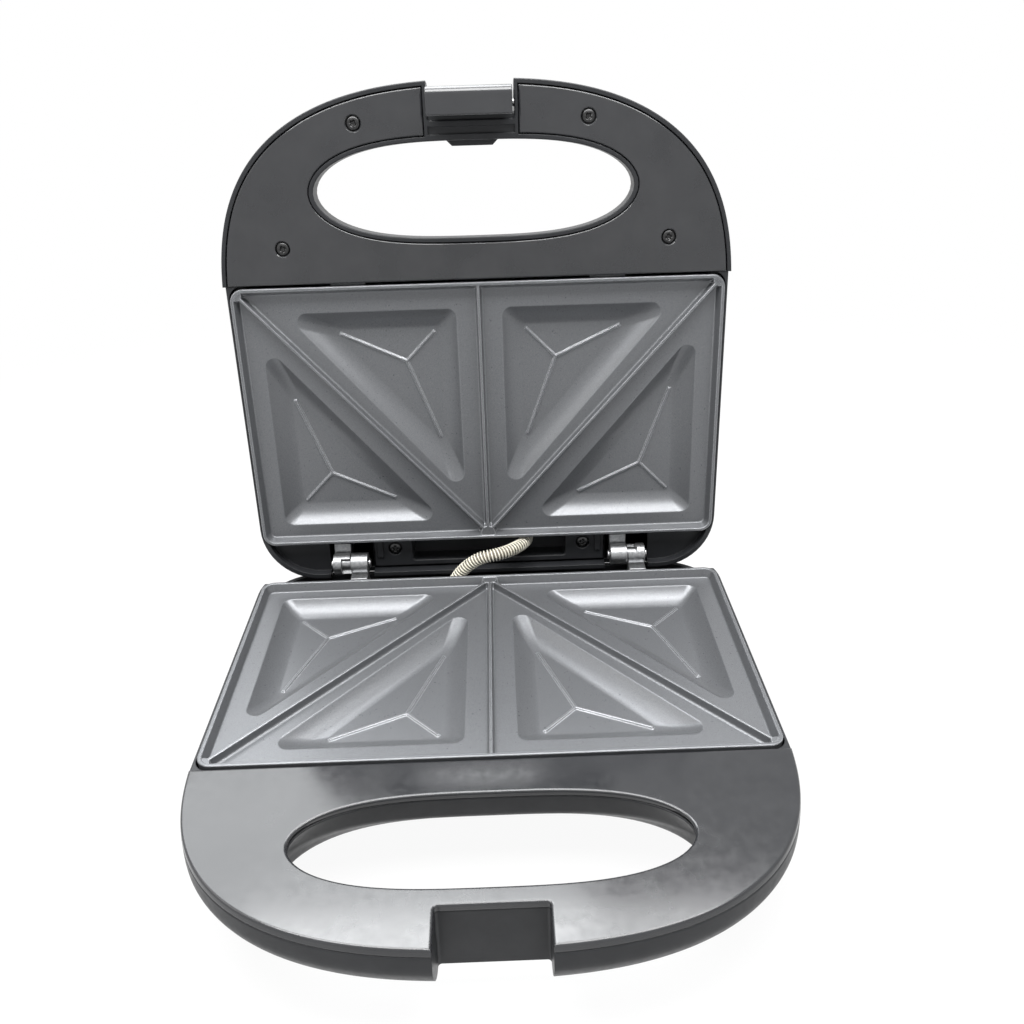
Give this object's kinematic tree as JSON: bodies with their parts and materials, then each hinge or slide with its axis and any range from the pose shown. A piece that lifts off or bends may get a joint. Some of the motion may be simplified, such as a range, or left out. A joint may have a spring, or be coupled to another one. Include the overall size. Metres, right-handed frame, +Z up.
{
  "type": "sandwich maker",
  "caption": "Electric sandwich maker standing open, with triangular cooking pockets, a hinged lid, loop handles and a swinging latch clip.",
  "frame": {"origin": "middle of the bounding box of the open sandwich maker, on the surface its feet stand on", "axes": "+Z up, +X to the right, -Y towards the handles and the user, hinge line along X at the back"},
  "size_m": [0.233, 0.2766, 0.2672],
  "materials": {
    "gloss_black": "high gloss moulded",
    "housing_black": "satin moulded",
    "plate_coating": "cast aluminium under a dark grey non-stick coating",
    "heater_steel": "dulled steel sheath",
    "reflector_sheet": "bright pressed sheet",
    "hinge_metal": "satin die cast",
    "pin_steel": "drawn steel",
    "screw_steel": "dark plated steel",
    "ceramic_white": "unglazed",
    "terminal_plastic": "natural nylon",
    "foot_rubber": "matte",
    "lamp_glass": "clear neon lamp",
    "red_lens": "clear tinted",
    "green_lens": "clear tinted",
    "conduit_enamel": "cream lacquered wound steel",
    "wire_sleeve": "woven glass sleeve"
  },
  "bodies": {
    "base": {"base_housing": "housing_black", "base_handle_cover": "gloss_black", "base_rear_cover": "gloss_black", "lower_plate": "plate_coating", "lower_heater": "heater_steel", "lower_reflector": "reflector_sheet", "lower_reflector_screw_1": "screw_steel", "lower_reflector_screw_2": "screw_steel", "thermostat": "ceramic_white", "thermal_fuse": "ceramic_white", "terminal_block": "terminal_plastic", "foot_front_left": "foot_rubber", "foot_front_right": "foot_rubber", "foot_rear_left": "foot_rubber", "foot_rear_right": "foot_rubber", "base_cover_screw_1": "screw_steel", "base_cover_screw_2": "screw_steel", "base_cover_screw_3": "screw_steel", "base_cover_screw_4": "screw_steel", "base_rear_screw_left": "screw_steel", "base_rear_screw_right": "screw_steel", "hinge_left_base_leaf": "hinge_metal", "hinge_left_base_screw": "screw_steel", "hinge_left_pin": "pin_steel", "hinge_right_base_leaf": "hinge_metal", "hinge_right_base_screw": "screw_steel", "hinge_right_pin": "pin_steel", "conduit_spring": "conduit_enamel", "conduit_wires": "wire_sleeve"},
    "lid": {"lid_housing": "housing_black", "lid_handle_cover": "gloss_black", "lid_rear_cover": "gloss_black", "upper_plate": "plate_coating", "upper_heater": "heater_steel", "upper_reflector": "reflector_sheet", "upper_reflector_screw_1": "screw_steel", "upper_reflector_screw_2": "screw_steel", "lid_cover_screw_1": "screw_steel", "lid_cover_screw_2": "screw_steel", "lid_cover_screw_3": "screw_steel", "lid_cover_screw_4": "screw_steel", "lid_rear_screw_left": "screw_steel", "lid_rear_screw_right": "screw_steel", "hinge_left_lid_leaf": "hinge_metal", "hinge_left_lid_screw": "screw_steel", "hinge_right_lid_leaf": "hinge_metal", "hinge_right_lid_screw": "screw_steel", "latch_pin": "pin_steel", "lamp_holder": "terminal_plastic", "power_lamp": "lamp_glass", "ready_lamp": "lamp_glass", "power_lens": "red_lens", "ready_lens": "green_lens"},
    "clip": {"latch_clip": "gloss_black"}
  },
  "joints": [
    {"name": "lid_hinge", "type": "hinge", "parent": "base", "child": "lid", "pos_m": [0, 0.08579, 0.0446], "axis": [1, 0, 0], "range_deg": [0, 97], "deforming": ["conduit_spring", "conduit_wires"]},
    {"name": "latch_swing", "type": "hinge", "parent": "lid", "child": "clip", "pos_m": [0, 0.11884, 0.25716], "axis": [1, 0, 0], "range_deg": [-30, 5]}
  ]
}
